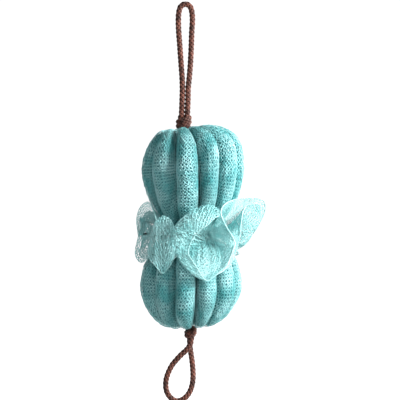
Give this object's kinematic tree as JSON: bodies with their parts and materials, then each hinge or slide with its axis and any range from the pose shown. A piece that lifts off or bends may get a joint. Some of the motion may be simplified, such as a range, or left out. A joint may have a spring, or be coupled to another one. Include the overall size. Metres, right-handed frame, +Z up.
{
  "type": "loofah back scrubber",
  "caption": "Soft back scrubber of foam-filled netting tubes bound in two bunches, with a gathered net frill at the waist and a braided cord loop at each end",
  "frame": {"origin": "the hang point: top of the inside of the hanging loop, where a hook or peg carries it", "axes": "+Z up along the hanging scrubber, -Y towards the viewer, +X to the right; the frill flares furthest towards +X"},
  "size_m": [0.158, 0.148, 0.4829],
  "materials": {
    "aqua_netting": "satin",
    "foam": "matte",
    "brown_cord": "satin",
    "frill_netting": "satin",
    "aqua_thread": "satin"
  },
  "bodies": {
    "hanging_loop": {"hanging_loop": "brown_cord"},
    "top_knot": {"top_knot": "brown_cord"},
    "upper_bunch": {"top_binding": "aqua_thread", "upper_sleeve_01": "aqua_netting", "upper_sleeve_02": "aqua_netting", "upper_sleeve_03": "aqua_netting", "upper_sleeve_04": "aqua_netting", "upper_sleeve_05": "aqua_netting", "upper_sleeve_06": "aqua_netting", "upper_sleeve_07": "aqua_netting", "upper_sleeve_08": "aqua_netting", "upper_sleeve_09": "aqua_netting", "upper_sleeve_10": "aqua_netting", "upper_foam_core_01": "foam", "upper_foam_core_02": "foam", "upper_foam_core_03": "foam", "upper_foam_core_04": "foam", "upper_foam_core_05": "foam", "upper_foam_core_06": "foam", "upper_foam_core_07": "foam", "upper_foam_core_08": "foam", "upper_foam_core_09": "foam", "upper_foam_core_10": "foam"},
    "waist_tie": {"waist_tie": "aqua_thread", "gathered_neck": "aqua_netting", "frill_upper_ruffle": "frill_netting"},
    "frill_gathering": {"frill_thread": "aqua_thread", "frill_lower_ruffle": "frill_netting"},
    "lower_bunch": {"lower_sleeve_01": "aqua_netting", "lower_sleeve_02": "aqua_netting", "lower_sleeve_03": "aqua_netting", "lower_sleeve_04": "aqua_netting", "lower_sleeve_05": "aqua_netting", "lower_sleeve_06": "aqua_netting", "lower_sleeve_07": "aqua_netting", "lower_sleeve_08": "aqua_netting", "lower_sleeve_09": "aqua_netting", "lower_sleeve_10": "aqua_netting", "lower_foam_core_01": "foam", "lower_foam_core_02": "foam", "lower_foam_core_03": "foam", "lower_foam_core_04": "foam", "lower_foam_core_05": "foam", "lower_foam_core_06": "foam", "lower_foam_core_07": "foam", "lower_foam_core_08": "foam", "lower_foam_core_09": "foam", "lower_foam_core_10": "foam", "bottom_binding": "aqua_thread"},
    "bottom_knot": {"bottom_knot": "brown_cord"},
    "hand_loop": {"hand_loop": "brown_cord"}
  },
  "joints": [
    {"name": "hanging_loop_fore_aft", "type": "hinge", "parent": "hanging_loop", "child": "top_knot", "pos_m": [-0.002, 0, -0.137], "axis": [1, 0, 0], "range_deg": [-60, 60], "stiffness_Nm_per_rad": 0.06},
    {"name": "hanging_loop_sideways", "type": "hinge", "parent": "top_knot", "child": "upper_bunch", "pos_m": [-0.002, 0, -0.137], "axis": [0, 1, 0], "range_deg": [-60, 60], "stiffness_Nm_per_rad": 0.06, "springref_deg": -9.85},
    {"name": "waist_bend_fore_aft", "type": "hinge", "parent": "upper_bunch", "child": "waist_tie", "pos_m": [0.0075, 0, -0.27], "axis": [1, 0, 0], "range_deg": [-15, 15], "stiffness_Nm_per_rad": 0.06, "deforming": ["frill_upper_ruffle"]},
    {"name": "waist_bend_sideways", "type": "hinge", "parent": "waist_tie", "child": "frill_gathering", "pos_m": [0.0075, 0, -0.27], "axis": [0, 1, 0], "range_deg": [-15, 15], "stiffness_Nm_per_rad": 0.06},
    {"name": "waist_twist", "type": "hinge", "parent": "frill_gathering", "child": "lower_bunch", "pos_m": [0.0075, 0, -0.27], "axis": [0, 0, 1], "range_deg": [-30, 30], "stiffness_Nm_per_rad": 0.02, "deforming": ["frill_lower_ruffle"]},
    {"name": "hand_loop_fore_aft", "type": "hinge", "parent": "lower_bunch", "child": "bottom_knot", "pos_m": [0.006, 0, -0.39], "axis": [1, 0, 0], "range_deg": [-60, 60], "stiffness_Nm_per_rad": 0.02},
    {"name": "hand_loop_sideways", "type": "hinge", "parent": "bottom_knot", "child": "hand_loop", "pos_m": [0.006, 0, -0.39], "axis": [0, 1, 0], "range_deg": [-60, 60], "stiffness_Nm_per_rad": 0.02}
  ]
}
